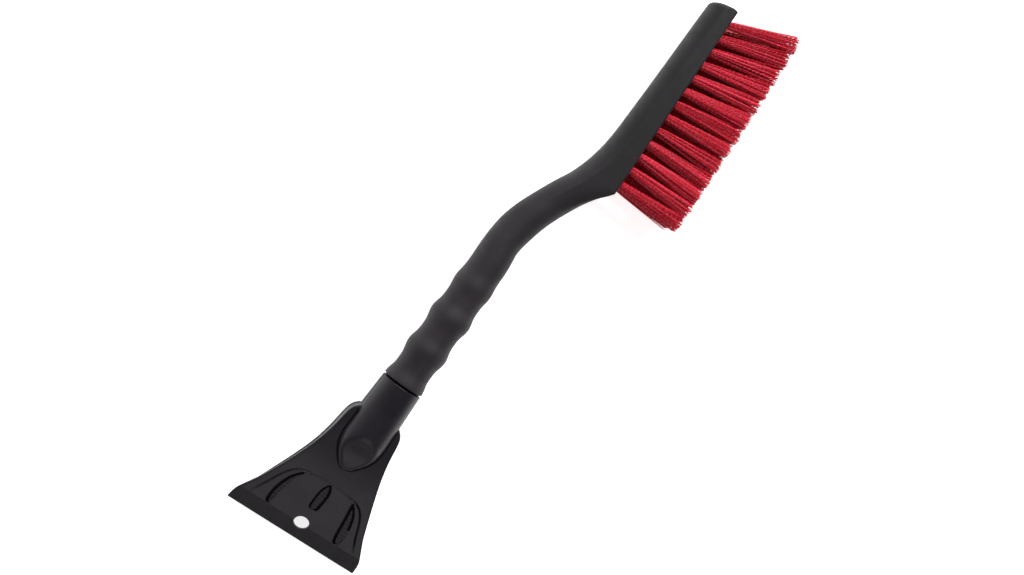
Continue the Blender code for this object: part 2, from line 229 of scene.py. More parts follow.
def curve_through(*points):
    """A smooth function through (x, value) points in rising x, for numbers or arrays."""
    xs, values = (np.array(column, float) for column in zip(*points))
    slopes = np.gradient(values, xs)

    def value(x):
        x = np.clip(x, xs[0], xs[-1])
        i = np.clip(np.searchsorted(xs, x) - 1, 0, len(xs) - 2)
        step = xs[i + 1] - xs[i]
        t = (x - xs[i]) / step
        return (
            (2 * t**3 - 3 * t**2 + 1) * values[i]
            + (t**3 - 2 * t**2 + t) * step * slopes[i]
            + (3 * t**2 - 2 * t**3) * values[i + 1]
            + (t**3 - t**2) * step * slopes[i + 1]
        )

    return value


neck_back = curve_through(
    (GRIP_END_X, 13.5), (245, 13.0), (256, 11.8), (268, 8.6), (281, 3.4), (295, -2.9), (308, -9.4),
    (321, -13.8), (334, -16.4), (348, -17.6), (362, BLOCK_BACK_Y), (LENGTH, BLOCK_BACK_Y - 0.7),
)
neck_front = curve_through(
    (GRIP_END_X, -11.8), (241, -11.3), (254, -13.3), (268, -17.0), (281, -22.2),
    (295, -29.0), (302, -33.2), (308, -37.4), (BLOCK_START_X, BLOCK_FACE_START_Y),
)
neck_half_depth = curve_through((GRIP_END_X, 12.4), (262, 11.6), (290, 11.8), (320, BLOCK_HALF_WIDTH))
head_half_width = curve_through(
    (0, BLADE_WIDTH / 2), (4, 50.2), (8, 49.4), (13.4, 46.8), (23, 41.8), (33.4, 37.4), (50, 31.0),
    (67, 25.4), (80, 22.5), (90, 21.1), (94, 20.3), (97.5, 18.6), (SHOULDER_X, 15.6),
)
shoulder_top = curve_through(
    (28, -0.44), (BLADE_END_X, 1.32), (44, 2.9), (52, 4.0),
    (62, 4.8), (74, 5.2), (84, 5.2), (SHOULDER_X, 4.8),
)
nose_radius = curve_through(
    (NOSE_X, 1.5), (58.6, 5.2), (63, 9.0), (67.3, 12.2),
    (73, 15.0), (79, 16.2), (NOSE_X + NOSE_LENGTH, SOCKET_RADIUS[1]),
)
flange_depth = curve_through((8, 3.1), (20, 4.6), (33, 6.4), (67, 8.5), (88, 10.8), (SHOULDER_X, 11.4))


def head_underside(x):
    """Height of the plate's lower surface: flat under the blade, curved under the shoulders."""
    flat = BLADE_SLOPE * x - EDGE_DROP - EDGE / 2
    lift = BLADE_SLOPE * BLADE_END_X - EDGE_DROP - EDGE / 2 - shoulder_top(BLADE_END_X)
    return np.where(x <= BLADE_END_X, flat, shoulder_top(x) + lift)


def head_top(x):
    """Height of the plate's upper surface, which rises from the thin edge along the bevel."""
    return head_underside(x) + EDGE + (PLATE - EDGE) * np.clip(x / BEVEL_END_X, 0, 1)


def face_y(x):
    """Where the block's bristle face lies."""
    return np.interp(x, (BLOCK_START_X, LENGTH), (BLOCK_FACE_START_Y, BLOCK_FACE_END_Y))


def grip_radius(x):
    """Radius of the grip, with finger waves that fade out towards the neck."""
    wave = (1 + np.cos(2 * math.pi * (x - WAVE_START_X) / WAVE_PITCH)) / 2
    fade = np.interp(x, *zip(*WAVE_FADE))
    return GRIP_WAIST_RADIUS + (GRIP_CREST_RADIUS - GRIP_WAIST_RADIUS) * fade * wave**WAVE_SHARPNESS


# Solids are signed functions of x, y and z, negative inside, and are joined with rounded edges.


def both(a, b, rounding=0.0):
    """The part common to two solids, its edge rounded."""
    if not np.any(rounding):
        return np.maximum(a, b)
    near = np.maximum(rounding - np.abs(a - b), 0) / rounding
    return np.maximum(a, b) + near * near * rounding / 4


def either(a, b, rounding=0.0):
    """Two solids as one, with a fillet between them."""
    return -both(-a, -b, rounding)


def cut(a, b, rounding=0.0):
    """The first solid without the second."""
    return both(a, -b, rounding)


def round_bar(x, y, z, stations):
    """A solid of revolution about the handle's axis, through (x, radius) stations."""
    xs, radii = zip(*stations)
    return both(np.hypot(y, z) - np.interp(x, xs, radii), both(xs[0] - x, x - xs[-1]), 0.3)


def polygon_distance(x, y, corners):
    """Signed distance to a closed outline in plan."""
    x, y = np.broadcast_arrays(x, y)
    nearest = np.full(x.shape, np.inf)
    inside = np.zeros(x.shape, bool)
    for (ax, ay), (bx, by) in zip(corners, np.roll(corners, -1, axis=0)):
        along, across = bx - ax, by - ay
        share = np.clip(((x - ax) * along + (y - ay) * across) / (along**2 + across**2), 0, 1)
        nearest = np.minimum(nearest, (x - ax - share * along) ** 2 + (y - ay - share * across) ** 2)
        if across:
            inside ^= ((ay > y) != (by > y)) & (x < along * (y - ay) / across + ax)
    return np.sqrt(nearest) * np.where(inside, -1, 1)


def softened(corners, rounds=2):
    """A closed outline with its corners cut back again and again into curves."""
    corners = np.array(corners, float)
    for _ in range(rounds):
        ahead = np.roll(corners, -1, axis=0)
        pair = (0.75 * corners + 0.25 * ahead, 0.25 * corners + 0.75 * ahead)
        corners = np.stack(pair, axis=1).reshape(-1, 2)
    return corners


def mirrored(half):
    """Half of an outline, followed by its mirror image across the middle."""
    return [*half, *((x, -y) for x, y in reversed(half) if y > 0)]


OUTLINE_X = (-0.6, *np.arange(2, 92, 3), 92, 94, 96, 97.5, 98.6, 99.6, SHOULDER_X)
HEAD_OUTLINE = np.array(mirrored([(x, float(head_half_width(x))) for x in OUTLINE_X]))
PANEL_OUTLINE = softened(mirrored(PANEL), 1)
LEFT_GROOVE = softened(SIDE_GROOVE)
RIGHT_GROOVE = LEFT_GROOVE * (1, -1)
CENTRE_GROOVE = softened(MIDDLE_GROOVE)
GROOVES = (  # outline, widths of the left and right channels, and where the right one starts
    (LEFT_GROOVE, 2.0, 0.0, 0.0),
    (CENTRE_GROOVE, 1.3, 1.8, 0.0),
    (RIGHT_GROOVE, 2.0, 1.6, 24.0),
)


def blade_top(x, y):
    """Height of the blade's upper surface. Its panel sinks away from the bevel, with a seam round it."""
    panel = polygon_distance(x, y, PANEL_OUTLINE)
    sunk = np.clip(0.5 - panel / SEAM_HALF, 0, 1)
    side = np.clip((np.abs(y) - SEAM_SHALLOW_Y) / (SEAM_DEEP_Y - SEAM_SHALLOW_Y), 0.25, 1)
    seam = np.clip(1.4 - np.abs(panel) / SEAM_HALF, 0, 1) * side
    depth = PANEL_DEPTH * sunk * sunk * (3 - 2 * sunk) + PANEL_SEAM * seam
    return head_top(x) - depth * np.clip((x - BEVEL_END_X) / PANEL_FADE, 0, 1)


def channels(x, y, outline, left_width, right_width, right_start):
    """The plan of the deep channels along one long side of a groove, or along both."""
    groove = polygon_distance(x, y, outline)
    left = cut(groove, polygon_distance(x, y + left_width, outline))
    if not right_width:
        return left
    right = cut(groove, polygon_distance(x, y - right_width, outline))
    return either(left, both(right, right_start - x))


def groove_pocket(x, y, z, *groove):
    """The space of one groove: its channels, and between them a floor that is ribbed across."""
    outline, _, right_width, _ = groove
    rise = 1.0 if right_width else np.clip(-polygon_distance(x, y - 1.2, outline) / 2, 0, 1)
    ribs = RIB_HEIGHT * (0.5 + 0.5 * np.cos(2 * math.pi * x / RIB_PITCH))
    floor = both(polygon_distance(x, y, outline), head_top(x) - (GROOVE_DEPTH - ribs) * rise - z, 0.2)
    return either(floor, both(channels(x, y, *groove), head_top(x) - CHANNEL_DEPTH - z))


def gusset(x, y, z, degrees):
    """A rib under the blade, fanning out from the nose."""
    turn = math.radians(degrees)
    off = (GUSSET_END_X - x) * math.sin(turn) - y * math.cos(turn)
    start_z = float(head_underside(GUSSET_START_X)) - 0.4
    low = np.interp(x, (GUSSET_START_X, GUSSET_END_X), (start_z, GUSSET_END_Z))
    length = both(GUSSET_START_X - x, x - GUSSET_END_X)
    height = both(low - z, z - head_underside(x) - 1.2)
    return both(np.abs(off) - GUSSET_THICKNESS / 2, both(length, height), 0.4)


def tube(x, y, z):
    """The socket's outside before the thumb hollow: a slightly tapered tube with a pointed nose."""
    nose_end, rim_x = NOSE_X + NOSE_LENGTH, COLLAR_X - COLLAR_GAP / 2
    taper = np.interp(x, (nose_end, COLLAR_X), SOCKET_RADIUS[::-1])
    radius = np.where(x < nose_end, nose_radius(x), taper)
    wall = (np.hypot(y, z) - radius) * np.interp(x, (NOSE_X, nose_end), (0.75, 1))
    return both(both(wall, NOSE_X - x, 0.6), x - rim_x, 0.4)


def socket(x, y, z):
    """The socket's outside, with the thumb hollow in its nose."""
    along = np.clip((x - NOSE_X) / (HOLLOW_END_X - NOSE_X), 0, 3)
    floor = HOLLOW_LOW_Z + (SOCKET_RADIUS[1] - HOLLOW_LOW_Z) * along**HOLLOW_CURVE
    dish = HOLLOW_DISH * np.clip(1 - np.square(y / DISH_HALF_WIDTH), 0, 1) * np.clip(1.1 - along, 0, 1)
    return both(tube(x, y, z), (z - floor + dish) * 0.8, 2.0)


def flange(x, z, outline):
    """The wall round the head's outline, set back under the plate and flaring out downwards."""
    under = head_underside(x)
    draft = LEDGE * np.clip(1 - (under - z) / 5, -0.3, 1)
    wall = both(np.abs(outline + WALL / 2 + draft) - WALL / 2, FLANGE_START_X - x)
    return both(wall, both(z - under - 1.5, head_top(x) - flange_depth(x) - z), 0.6)


def hanging_hole(x, y, z):
    """The hole near the blade's edge, bored square to the blade."""
    tilt = math.atan(BLADE_SLOPE)
    height = z - float(head_underside(HANG_HOLE_X))
    slant = (x - HANG_HOLE_X) * math.cos(tilt) + height * math.sin(tilt)
    return (np.hypot(slant / HANG_HOLE[0], y / HANG_HOLE[1]) - 1) * HANG_HOLE[0]


def socket_bore(x, y, z):
    """The bore that takes the spigot: a cone at its end, a groove for the snap bead, open at the rim."""
    radius, groove_half = SPIGOT_RADIUS + CRUSH_RIB + FIT_GAP, BEAD_WIDTH / 2 + 2 * FIT_GAP
    return round_bar(x, y, z, (
        (SPIGOT_TIP_X - 17, radius - 6.5), (SPIGOT_TIP_X - 2, radius - 1.5), (SPIGOT_TIP_X - 1, radius),
        (BEAD_X - groove_half, radius), (BEAD_X, BEAD_RADIUS + 2 * FIT_GAP), (BEAD_X + groove_half, radius),
        (COLLAR_X + 4, radius),
    ))


def head_shape(x, y, z):
    """The scraper head: plate, flanges, gussets and socket, and everything that is cut into them."""
    outline = polygon_distance(x, y, HEAD_OUTLINE)
    rounding = np.interp(x, (0, BEVEL_END_X), (0.25, 1.3))
    shape = both(outline, both(z - blade_top(x, y), head_underside(x) - z), rounding)
    shape = either(shape, flange(x, z, outline), 0.2)
    for degrees in GUSSET_ANGLES:
        shape = either(shape, gusset(x, y, z, degrees), 0.4)
    moat = both(np.abs(tube(x, y, z)) - MOAT, head_top(x) - MOAT - z)
    shape = either(cut(shape, both(moat, x - SHOULDER_X + 3), 0.2), socket(x, y, z), 0.2)
    for groove in GROOVES:
        shape = cut(shape, groove_pocket(x, y, z, *groove), 0.2)
    shape = cut(shape, hanging_hole(x, y, z), 0.5)
    return cut(shape, socket_bore(x, y, z), 0.8)


def painted_shade_places(x, y, z):
    """Where the head's colour is painted with shade, in the near-black plastic: the grooves' channels below
    the glossy tops of their walls, the seam on the panel's shaded side, the line round the nose, and the
    flanges' ledge and lower rim."""
    depth = blade_top(x, y) - z
    deep = np.min([channels(x, y, *groove) for groove in GROOVES], axis=0)
    narrow = both(deep, SHADE_START_DEPTH - depth)
    seam = np.abs(polygon_distance(x, y, PANEL_OUTLINE)) - 0.6
    # Painted shade on the seam only on the panel's side in shade, below y = -SEAM_DEEP_Y.
    seam = both(seam, both(SEAM_DEEP_Y + y, BEVEL_END_X + 3 - x))
    seam = both(seam, np.abs(head_top(x) - 1.3 - z) - 0.7)
    line = both(np.abs(tube(x, y, z)) - MOAT, both(depth - 1.5, 0.3 - depth))
    # Painted shade under the plate's overhang and along the flanges' lower rim.
    ledge = np.abs(head_underside(x) - 0.4 - z) - 0.8
    rim = z - head_top(x) + flange_depth(x) - SHADED_RIM_HEIGHT
    edges = both(either(ledge, rim), both(-1.2 - polygon_distance(x, y, HEAD_OUTLINE), 9 - x))
    lines = either(both(line, x - SHOULDER_X + 3), edges)
    return either(either(narrow, seam), lines)


def block_section(y, z, back, front):
    """The brush block's section: a half-round back, flat sides and a flat face with rounded edges."""
    crease = np.minimum(CREASE_DEPTH, 0.6 * (back - front))
    bulge = CREASE_TURN + (1 - CREASE_TURN) * np.maximum(y - (back - crease), 0) / crease
    rounded = (np.hypot(bulge, z / BLOCK_HALF_WIDTH * math.sqrt(1 - CREASE_TURN**2)) - 1) * crease
    flat = both(np.abs(z) - BLOCK_HALF_WIDTH, front - y, 1.6)
    return np.where(y > back - crease, rounded, flat)


def body(x, y, z):
    """The grip, the neck and the brush block."""
    front = np.where(x < BLOCK_START_X, neck_front(x), face_y(x))
    end = np.clip((x - (LENGTH - END_LENGTH)) / END_LENGTH, 0, 1)
    back = neck_back(x) - END_DROP * (1 - np.sqrt(1 - end**2))
    middle, half_height, half_depth = (back + front) / 2, (back - front) / 2, neck_half_depth(x)
    oval = np.hypot((y - middle) / half_height, z / half_depth) - 1
    oval = oval * np.minimum(half_height, half_depth)
    squareness = np.clip((x - SQUARE_START_X) / (BLOCK_START_X - SQUARE_START_X), 0, 1)
    neck = oval * (1 - squareness) + block_section(y, z, back, front) * squareness
    grip = np.hypot(y, z) - grip_radius(x)
    share = np.clip((x - GRIP_END_X) / BLEND_LENGTH + 0.5, 0, 1)
    share = share * share * (3 - 2 * share)
    bar = both(grip * (1 - share) + neck * share, x - LENGTH, 0.8)
    return both(bar, COLLAR_X + COLLAR_GAP - x, 0.4)


def spigot(x, y, z):
    """The spigot, with its four crush ribs, the snap bead and the stop ring behind the socket's rim."""
    angle = np.arctan2(z, y)
    off_rib = np.abs((angle + math.pi / 4) % (math.pi / 2) - math.pi / 4)
    rib = CRUSH_RIB * np.clip(1 - off_rib / 0.12, 0, 1)
    ribbed = rib * np.clip(x - BEAD_X - BEAD_WIDTH / 2, 0, 1)
    bead = round_bar(x, y, z, (
        (BEAD_X - BEAD_WIDTH / 2, SPIGOT_RADIUS - 0.1), (BEAD_X, BEAD_RADIUS),
        (BEAD_X + BEAD_WIDTH / 2, SPIGOT_RADIUS - 0.1),
    ))
    bar = round_bar(x, y, z, (
        (SPIGOT_TIP_X, SPIGOT_RADIUS - 1.2), (SPIGOT_TIP_X + 1.5, SPIGOT_RADIUS),
        (COLLAR_X + 4, SPIGOT_RADIUS),
    ))
    stop = round_bar(x, y, z, ((COLLAR_X - 0.1, STOP_RADIUS), (COLLAR_X + 4, STOP_RADIUS)))
    return either(either(bar - ribbed, bead), stop)


def tuft_frame(row, index):
    """Root point on the block's face, and the tuft's direction and its two cross directions."""
    z, splay, count = ROWS[row]
    longest = max(tufts for _, _, tufts in ROWS)
    place = index + (longest - count) / 2
    x = LAST_TUFT_X - (longest - 1 - place) * TUFT_PITCH - FIRST_TUFT_SETBACK * max(0.0, 1 - place)
    leaning = (place - UPRIGHT_TUFTS + 1) / (longest - UPRIGHT_TUFTS)
    face_angle = math.atan2(BLOCK_FACE_END_Y - BLOCK_FACE_START_Y, LENGTH - BLOCK_START_X)
    lean = face_angle + math.radians(MAX_LEAN * max(0.0, leaning))
    direction = Vector((math.sin(lean), -math.cos(lean), math.tan(math.radians(splay)))).normalized()
    across = Vector((math.cos(lean), math.sin(lean), 0.0))
    frame = (Vector((x, float(face_y(x)), z)), direction, across, direction.cross(across))
    return tuple(np.array(vector) for vector in frame)


TUFTS = {
    f"tuft_{row + 1}_{index + 1:02d}": tuft_frame(row, index)
    for row, (_, _, count) in enumerate(ROWS)
    for index in range(count)
}


def tuft_hole(x, y, z, frame):
    """The blind hole of one tuft, a little wider than the tuft's root."""
    root, direction, _, _ = frame
    gap = [x - root[0], y - root[1], z - root[2]]
    along = sum(g * d for g, d in zip(gap, direction))
    off = np.sqrt(np.maximum(sum(np.square(g) for g in gap) - along**2, 0))
    return both(off - TUFT_ROOT_RADIUS - FIT_GAP, -along - TUFT_HOLE_DEPTH)


def handle_shape(x, y, z):
    """The brush handle: spigot, grip, neck and block in one moulding, with a cored grip."""
    shape = either(body(x, y, z), spigot(x, y, z))
    for frame in TUFTS.values():
        if np.abs(x - frame[0][0]).min() < TUFT_HOLE_DEPTH:
            shape = cut(shape, tuft_hole(x, y, z, frame), 0.3)
    core = round_bar(x, y, z, (
        (SPIGOT_TIP_X - 2, CORE_RADIUS), (GRIP_END_X - 12, CORE_RADIUS),
        (GRIP_END_X - 4, 0.6 * CORE_RADIUS),
    ))
    return cut(shape, core, 0.4)


def settled(shape, points, reach):
    """Points moved onto a solid's surface, each by no more than the reach."""
    start, nudge = points.copy(), 0.02
    for _ in range(2):
        value = shape(*points.T)
        slope = np.stack([
            (shape(*(points + step).T) - shape(*(points - step).T)) / (2 * nudge)
            for step in np.eye(3) * nudge
        ], axis=1)
        move = value / np.maximum((slope**2).sum(axis=1), 0.1)
        points = points - slope * move[:, None]
        points = start + np.clip(points - start, -reach, reach)
    return points


def skin(shape, low, high, step):
    """Points and quads of a solid's surface, with one point in every grid cell that it passes through."""
    axes = [np.arange(a, b + step, step) for a, b in zip(low, high)]
    slabs = np.array_split(axes[0], len(axes[0]) // 24)
    y, z = axes[1][None, :, None], axes[2][None, None, :]
    field = np.concatenate([shape(slab[:, None, None], y, z).astype(np.float32) for slab in slabs])
    inside = field < 0
    corners = np.array(list(itertools.product((0, 1), repeat=3)))
    sizes = [n - 1 for n in inside.shape]
    count = sum(
        inside[i : i + sizes[0], j : j + sizes[1], k : k + sizes[2]].astype(np.int8)
        for i, j, k in corners
    )
    cells = np.argwhere((count > 0) & (count < 8))
    number = np.full(sizes, -1, np.int32)
    number[tuple(cells.T)] = np.arange(len(cells))

    values = field[tuple(np.moveaxis(cells[:, None, :] + corners, 2, 0))]
    place, crossings = np.zeros((len(cells), 3)), np.zeros(len(cells))
    for a, b in itertools.combinations(range(8), 2):
        if np.abs(corners[a] - corners[b]).sum() == 1:
            crossed = (values[:, a] < 0) != (values[:, b] < 0)
            share = values[crossed, a] / (values[crossed, a] - values[crossed, b])
            place[crossed] += corners[a] + share[:, None] * (corners[b] - corners[a])
            crossings += crossed
    points = np.array([axis[0] for axis in axes]) + step * (cells + place / crossings[:, None])

    quads = []
    for axis in range(3):
        first, second = np.eye(3, dtype=int)[[(axis + 1) % 3, (axis + 2) % 3]]
        start, end = np.moveaxis(inside, axis, 0)[:-1], np.moveaxis(inside, axis, 0)[1:]
        at = np.argwhere(np.moveaxis(start != end, 0, axis))
        around = (0 * first, first, first + second, second)
        quad = np.stack([number[tuple((at - back).T)] for back in around], axis=1)
        leaving = inside[tuple(at.T)]
        quads.append(np.where(leaving[:, None], quad, quad[:, ::-1]))
    return settled(shape, points, 0.6 * step), np.concatenate(quads)


def new_mesh(name, points, *polygons):
    """A mesh from layout points and arrays of faces, each array with its own number of corners."""
    mesh = bpy.data.meshes.new(name)
    mesh.vertices.add(len(points))
    mesh.vertices.foreach_set("co", ((points - ORIGIN) * METRES).astype(np.float32).ravel())
    sizes = np.concatenate([np.full(len(faces), faces.shape[1]) for faces in polygons])
    mesh.loops.add(int(sizes.sum()))
    indices = np.concatenate([faces.ravel() for faces in polygons])
    mesh.loops.foreach_set("vertex_index", indices.astype(np.int32))
    mesh.polygons.add(len(sizes))
    mesh.polygons.foreach_set("loop_start", (np.cumsum(sizes) - sizes).astype(np.int32))
    mesh.update(calc_edges=True)
    mesh.validate()
    return mesh


def new_piece(name, mesh, materials, slot, *replaced):
    """An object of the model, riding the body, in the place of the CAD nodes that it replaces."""
    piece = bpy.data.objects.new(name, mesh)
    bpy.context.scene.collection.objects.link(piece)
    for material in materials:
        mesh.materials.append(material)
    mesh.shade_smooth()
    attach(piece, "root")
    if replaced:
        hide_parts(*replaced)


def filament_bundle(frame, bend, rng):
    """Points, quads, end triangles and shades of one tuft's filaments."""
    root, direction, across, upward = frame
    bottom = FOLD_GAP - TUFT_HOLE_DEPTH
    golden = math.pi * (3 - math.sqrt(5))
    order = np.arange(FILAMENTS)
    spread = ((order + 0.5) / FILAMENTS) ** CROWDING
    turn = order * golden + rng.uniform(-0.25, 0.25, FILAMENTS)
    reach = BRISTLE_LENGTH + CENTRE_REACH - DOME * spread**2 + rng.normal(0, UNEVENNESS, FILAMENTS)

    rings = int((BRISTLE_LENGTH - bottom) / CRIMP_PITCH * RINGS_PER_CRIMP)
    share = np.linspace(0, 1, rings)
    distance = bottom + share[None, :] * (reach[:, None] - bottom)
    opening = np.clip(distance / BRISTLE_LENGTH, 0, None)
    flare = FLARE * (1 - np.exp(-np.clip(distance, 0, None) / FLARE_LENGTH))
    cone = (TIP_SPREAD - TUFT_ROOT_RADIUS - FLARE) * opening
    radius = TUFT_ROOT_RADIUS - FILAMENT_RADIUS + flare + cone
    wander = rng.normal(0, WANDER, (2, FILAMENTS, 1)) * opening**2
    crimp_turn = rng.normal(math.pi / 2, CRIMP_TURN, FILAMENTS)
    phase = rng.uniform(0, 2 * math.pi) + rng.normal(0, CRIMP_TURN, FILAMENTS)
    wave = np.sin(2 * math.pi * distance / CRIMP_PITCH + phase[:, None])
    crimp = CRIMP_HEIGHT * wave * np.clip(distance + 2, 0, 1)
    fan = 1 + TIP_OVAL * opening
    a = bend * opening**1.5 + radius * fan * (spread * np.cos(turn))[:, None]
    a = a + wander[0] + crimp * np.cos(crimp_turn)[:, None]
    b = radius / fan * (spread * np.sin(turn))[:, None] + wander[1] + crimp * np.sin(crimp_turn)[:, None]

    sides = 2 * math.pi * np.arange(3) / 3
    thickness = FILAMENT_RADIUS * np.where(share < 1, 1.0, 0.55)
    points = (
        root
        + distance[:, :, None, None] * direction
        + (a[:, :, None] + thickness[:, None] * np.cos(sides))[..., None] * across
        + (b[:, :, None] + thickness[:, None] * np.sin(sides))[..., None] * upward
    )
    index = np.arange(points.size // 3).reshape(FILAMENTS, rings, 3)
    ahead = np.roll(index, -1, axis=2)
    quads = np.stack((index[:, :-1], ahead[:, :-1], ahead[:, 1:], index[:, 1:]), axis=-1).reshape(-1, 4)
    ends = np.concatenate((index[:, 0, ::-1], index[:, -1]))
    shade = rng.integers(0, SHADES, FILAMENTS)
    shades = np.concatenate((np.repeat(shade, 3 * (rings - 1)), shade, shade))
    return points.reshape(-1, 3), quads, ends, shades


def make_tufts(materials):
    """A bundle of filaments in the place of every tuft of the CAD model."""
    rng = np.random.default_rng(SEED)
    for node, frame in TUFTS.items():
        bend = FIRST_BEND if node.endswith("_01") else 0.0
        points, quads, ends, shades = filament_bundle(frame, bend, rng)
        mesh = new_mesh(node + "_filaments", points, quads, ends)
        mesh.polygons.foreach_set("material_index", shades.astype(np.int32))
        new_piece(node + "_filaments", mesh, materials, "bristles", node)


def make_anchors(material):
    """The metal anchor over which each tuft is folded, at the bottom of its hole."""
    shape = bmesh.new()
    for root, direction, across, upward in TUFTS.values():
        middle = root - direction * (TUFT_HOLE_DEPTH - ANCHOR_LIFT)
        sides = [
            [
                shape.verts.new((middle + a * upward + b * direction + c * across - ORIGIN) * METRES)
                for a, b in ANCHOR_PROFILE
            ]
            for c in (-ANCHOR_THICKNESS / 2, ANCHOR_THICKNESS / 2)
        ]
        shape.faces.new(sides[0][::-1])
        shape.faces.new(sides[1])
        for k in range(len(ANCHOR_PROFILE)):
            ahead = (k + 1) % len(ANCHOR_PROFILE)
            shape.faces.new((sides[0][k], sides[0][ahead], sides[1][ahead], sides[1][k]))
    bmesh.ops.recalc_face_normals(shape, faces=shape.faces)
    mesh = bpy.data.meshes.new("tuft_anchors")
    shape.to_mesh(mesh)
    shape.free()
    new_piece("tuft_anchors", mesh, [material], "bristles")


def set_range(node, *numbers):
    """Set what a Map Range node turns into what: from low, from high, to low, to high."""
    for name, number in zip(("From Min", "From Max", "To Min", "To Max"), numbers):
        node.inputs[name].default_value = number


class Nodes:
    """A material's node tree, with short names for the nodes that the finishes use."""

    def __init__(self, name):
        self.material = bpy.data.materials.new(name)
        self.material.use_nodes = True
        self.tree = self.material.node_tree
        self.shader = self.tree.nodes["Principled BSDF"]
        self.place = self.tree.nodes.new("ShaderNodeTexCoord").outputs["Object"]

    def link(self, start, end):
        self.tree.links.new(start, end)

    def stretched(self, x, y, z):
        """The object's own coordinates, scaled along each axis."""
        mapping = self.tree.nodes.new("ShaderNodeMapping")
        mapping.inputs["Scale"].default_value = (x, y, z)
        self.link(self.place, mapping.inputs["Vector"])
        return mapping.outputs["Vector"]

    def noise(self, size, detail=4.0, vector=None, roughness=0.55):
        """Noise whose lumps are about that many millimetres across."""
        node = self.tree.nodes.new("ShaderNodeTexNoise")
        node.inputs["Scale"].default_value = 1 / (size * METRES)
        node.inputs["Detail"].default_value = detail
        node.inputs["Roughness"].default_value = roughness
        self.link(vector or self.place, node.inputs["Vector"])
        return node.outputs["Fac"]

    def remap(self, value, low, high, start=0.3, end=0.7):
        """A value from start to end turned into one from low to high."""
        node = self.tree.nodes.new("ShaderNodeMapRange")
        set_range(node, start, end, low, high)
        self.link(value, node.inputs["Value"])
        return node.outputs["Result"]

    def ramp(self, value, *stops):
        """A colour from (position, colour) stops."""
        node = self.tree.nodes.new("ShaderNodeValToRGB")
        elements = node.color_ramp.elements
        while len(elements) < len(stops):
            elements.new(0.5)
        for element, (position, colour) in zip(elements, stops):
            element.position, element.color = position, (*colour, 1.0)
        self.link(value, node.inputs["Fac"])
        return node.outputs["Color"]

    def math(self, operation, a, b):
        node = self.tree.nodes.new("ShaderNodeMath")
        node.operation = operation
        for socket_, value in zip(node.inputs, (a, b)):
            if isinstance(value, float):
                socket_.default_value = value
            else:
                self.link(value, socket_)
        return node.outputs["Value"]

    def bump(self, height, depth, before=None):
        """A bump whose height, from 0 to 1, stands for that many millimetres."""
        node = self.tree.nodes.new("ShaderNodeBump")
        node.inputs["Distance"].default_value = depth * METRES
        self.link(height, node.inputs["Height"])
        if before:
            self.link(before, node.inputs["Normal"])
        return node.outputs["Normal"]

    def set(self, **values):
        """The finished material, with the shader's sockets set to numbers and colours or linked."""
        for name, value in values.items():
            socket_ = self.shader.inputs[name.replace("_", " ")]
            if isinstance(value, (float, tuple)):
                socket_.default_value = value
            else:
                self.link(value, socket_)
        return self.material


def matte_plastic():
    """Charcoal polypropylene with a fine spark-eroded grain; its colour is painted paler on the grip and
    darker towards the block, a painted falloff of the light.
    """
    n = Nodes("matte_charcoal_plastic")
    cloudy, grain = n.noise(22, 3.0), n.noise(0.35, 3.0)
    side = n.tree.nodes.new("ShaderNodeSeparateXYZ")
    n.link(n.place, side.inputs["Vector"])
    # Painted light: the colour fades from pale on the grip to dark at the brush block, where less light
    # falls.
    painted_light_falloff = n.remap(side.outputs["X"], 1.0, 0.35, 0.0, 0.1)
    mottle = n.math("ADD", n.math("MULTIPLY", cloudy, 0.7), n.math("MULTIPLY", grain, 0.3))
    dark, pale = (0.0062, 0.0048, 0.0063), (0.0245, 0.0190, 0.0252)
    colour = n.ramp(n.math("MULTIPLY", mottle, painted_light_falloff), (0.15, dark), (0.62, pale))
    normal = n.bump(n.noise(2.6, 2.0), 0.03, n.bump(grain, 0.035))
    return n.set(Base_Color=colour, Roughness=n.remap(n.noise(6.0), 0.54, 0.66), Metallic=0.0,
                 IOR=1.49, Specular_IOR_Level=0.38, Normal=normal)


def gloss_plastic():
    """Black styrene: polished and slightly wavy, with faint scuffs drawn out along the tool."""
    n = Nodes("gloss_black_plastic")
    scuffs = n.noise(0.5, 5.0, n.stretched(0.08, 1.0, 1.0), 0.7)
    colour = n.ramp(n.noise(18, 3.0), (0.3, (0.0108, 0.0082, 0.0122)), (0.7, (0.0145, 0.0111, 0.0168)))
    rough = n.math("ADD", n.remap(n.noise(9.0, 3.0), 0.3, 0.38), n.remap(scuffs, 0.0, 0.14, 0.5, 0.75))
    normal = n.bump(n.noise(3.5, 2.0), 0.02, n.bump(scuffs, 0.006))
    return n.set(Base_Color=colour, Roughness=rough, Metallic=0.0,
                 IOR=1.5, Specular_IOR_Level=0.35, Normal=normal)


def painted_shade_plastic():
    """Near-black, rough and dull plastic, painted shade: in the head's recesses and lines, and on the
    spigot, seen in the collar gap.
    """
    n = Nodes("painted_shade_black_plastic")
    colour = n.ramp(n.noise(4.0, 3.0), (0.3, (0.0016, 0.0012, 0.0017)), (0.7, (0.0026, 0.0020, 0.0028)))
    return n.set(Base_Color=colour, Roughness=n.remap(n.noise(1.5), 0.55, 0.7), Metallic=0.0,
                 IOR=1.5, Specular_IOR_Level=0.12, Normal=n.bump(n.noise(0.6), 0.03))


def bristle_plastic(index):
    """One of the reds of the filaments, each a little lighter than the one before."""
    n = Nodes(f"red_filament_{index + 1}")
    share = index / (SHADES - 1)
    red, green, blue = 0.52 + 0.46 * share, 0.008 + 0.042 * share**2, 0.026 + 0.074 * share**2
    rough = n.remap(n.noise(1.4, 3.0), 0.2, 0.34)
    normal = n.bump(n.noise(0.25, 2.0), 0.02)
    return n.set(Base_Color=(red, green, blue, 1.0), Roughness=rough, Metallic=0.0,
                 IOR=1.5, Normal=normal)


